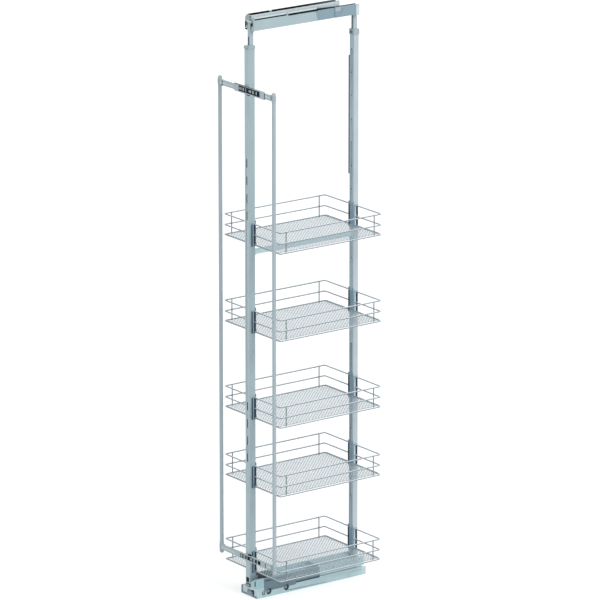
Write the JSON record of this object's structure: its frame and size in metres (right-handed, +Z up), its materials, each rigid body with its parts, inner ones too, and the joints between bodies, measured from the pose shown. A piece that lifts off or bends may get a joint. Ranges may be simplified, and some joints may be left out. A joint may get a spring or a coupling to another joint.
{
  "type": "pull out pantry frame",
  "caption": "Tall narrow larder pull-out: floor and top runners, slotted uprights, wire trays with mesh floors on clips, and a slim rod carrier for the cabinet door.",
  "frame": {"origin": "centre of the base track's four floor screw holes, on the cabinet floor", "axes": "+X across the cabinet to the right as seen from the door, +Y from the door to the cabinet's back, +Z up"},
  "size_m": [0.342, 0.5021, 2.145],
  "materials": {
    "silver": "silver grey powder coat",
    "pale_silver": "pale silver powder coat",
    "zinc": "zinc plated steel",
    "wire": "silver coated steel wire and mesh",
    "grey_plastic": "dark blue grey moulded plastic",
    "black_plastic": "near black moulded plastic and coating",
    "nylon": "white nylon",
    "roller": "grey nylon rollers",
    "rubber": "black rubber"
  },
  "bodies": {
    "base": {"base_track": "silver", "roller_brackets": "zinc", "soft_close_unit": "grey_plastic", "damper": "black_plastic", "front_guide": "nylon", "rear_buffer": "rubber", "track_screws": "silver"},
    "support_rollers_front": {"support_rollers_front": "roller"},
    "support_rollers_back": {"support_rollers_back": "roller"},
    "mid_runner": {"mid_runner": "zinc", "mid_axles": "zinc"},
    "mid_rear_rollers": {"mid_rear_rollers": "roller"},
    "beam_rollers_front": {"beam_rollers_front": "roller"},
    "beam_rollers_back": {"beam_rollers_back": "roller"},
    "frame": {"base_beam": "silver", "beam_cover": "silver", "uplift_guide": "nylon", "front_cover": "pale_silver", "front_upright": "silver", "rear_upright": "silver", "front_foot": "black_plastic", "upright_brackets": "zinc", "strut": "silver", "collars": "grey_plastic", "frame_bolts": "zinc", "side_strip": "black_plastic", "door_anchors": "zinc"},
    "top_slide": {"front_inner_tube": "silver", "rear_inner_tube": "silver", "top_slide": "zinc", "top_covers": "pale_silver", "top_end_plate": "silver", "top_rear_bracket": "silver", "slide_glides": "nylon", "top_bolts": "zinc"},
    "top_mid_rail": {"top_mid_rail": "black_plastic", "mid_glides": "nylon"},
    "top_rail": {"top_rail": "pale_silver", "rail_glides": "nylon", "rail_liner": "black_plastic"},
    "door_adjusters": {"door_adjusters": "black_plastic"},
    "door_carrier": {"upper_crossbar": "silver", "lower_crossbar": "silver", "rods": "silver", "rod_caps": "grey_plastic"},
    "basket_1": {"basket_1": "wire", "basket_1_floor": "wire", "basket_1_holders": "grey_plastic"},
    "basket_2": {"basket_2": "wire", "basket_2_floor": "wire", "basket_2_holders": "grey_plastic"},
    "basket_3": {"basket_3": "wire", "basket_3_floor": "wire", "basket_3_holders": "grey_plastic"},
    "basket_4": {"basket_4": "wire", "basket_4_floor": "wire", "basket_4_holders": "grey_plastic"},
    "basket_5": {"basket_5": "wire", "basket_5_floor": "wire", "basket_5_holders": "grey_plastic"}
  },
  "joints": [
    {"name": "pull_out", "type": "slide", "parent": "base", "child": "frame", "axis": [0, -1, 0], "range_m": [0, 0.44]},
    {"name": "runner_slide", "type": "slide", "parent": "base", "child": "mid_runner", "axis": [0, -1, 0], "range_m": [0, 0.22]},
    {"name": "front_support_spin", "type": "hinge", "parent": "base", "child": "support_rollers_front", "pos_m": [0, -0.187, 0.0195], "axis": [1, 0, 0], "range_deg": [-5, 1337]},
    {"name": "back_support_spin", "type": "hinge", "parent": "base", "child": "support_rollers_back", "pos_m": [0, -0.109, 0.0195], "axis": [1, 0, 0], "range_deg": [-5, 1337]},
    {"name": "rear_roller_spin", "type": "hinge", "parent": "mid_runner", "child": "mid_rear_rollers", "pos_m": [0, 0.1952, 0.0118], "axis": [1, 0, 0], "range_deg": [-5, 1337]},
    {"name": "front_beam_roller_spin", "type": "hinge", "parent": "mid_runner", "child": "beam_rollers_front", "pos_m": [0, -0.2, 0.0262], "axis": [1, 0, 0], "range_deg": [-5, 1210]},
    {"name": "back_beam_roller_spin", "type": "hinge", "parent": "mid_runner", "child": "beam_rollers_back", "pos_m": [0, -0.04, 0.0262], "axis": [1, 0, 0], "range_deg": [-5, 1210]},
    {"name": "top_height", "type": "slide", "parent": "frame", "child": "top_slide", "axis": [0, 0, 1], "range_m": [-0.04, 0.15]},
    {"name": "top_mid_travel", "type": "slide", "parent": "top_slide", "child": "top_mid_rail", "axis": [0, 1, 0], "range_m": [0, 0.22]},
    {"name": "top_rail_travel", "type": "slide", "parent": "top_slide", "child": "top_rail", "axis": [0, 1, 0], "range_m": [0, 0.44]},
    {"name": "door_height", "type": "slide", "parent": "frame", "child": "door_adjusters", "axis": [0, 0, 1], "range_m": [-0.004, 0.004]},
    {"name": "door_sideways", "type": "slide", "parent": "door_adjusters", "child": "door_carrier", "axis": [1, 0, 0], "range_m": [-0.003, 0.003]},
    {"name": "basket_1_height", "type": "slide", "parent": "frame", "child": "basket_1", "axis": [0, 0, 1], "range_m": [0, 0.064]},
    {"name": "basket_2_height", "type": "slide", "parent": "frame", "child": "basket_2", "axis": [0, 0, 1], "range_m": [-0.064, 0.064]},
    {"name": "basket_3_height", "type": "slide", "parent": "frame", "child": "basket_3", "axis": [0, 0, 1], "range_m": [-0.064, 0.064]},
    {"name": "basket_4_height", "type": "slide", "parent": "frame", "child": "basket_4", "axis": [0, 0, 1], "range_m": [-0.064, 0.064]},
    {"name": "basket_5_height", "type": "slide", "parent": "frame", "child": "basket_5", "axis": [0, 0, 1], "range_m": [0, 0.064]}
  ],
  "couplings": [
    {"joint": "runner_slide", "follows": "pull_out", "ratio": 0.5},
    {"joint": "front_support_spin", "follows": "pull_out", "rad_per_m": 52.632},
    {"joint": "back_support_spin", "follows": "pull_out", "rad_per_m": 52.632},
    {"joint": "rear_roller_spin", "follows": "pull_out", "rad_per_m": 52.632},
    {"joint": "front_beam_roller_spin", "follows": "pull_out", "rad_per_m": 47.619},
    {"joint": "back_beam_roller_spin", "follows": "pull_out", "rad_per_m": 47.619},
    {"joint": "top_mid_travel", "follows": "pull_out", "ratio": 0.5},
    {"joint": "top_rail_travel", "follows": "pull_out", "ratio": 1}
  ]
}
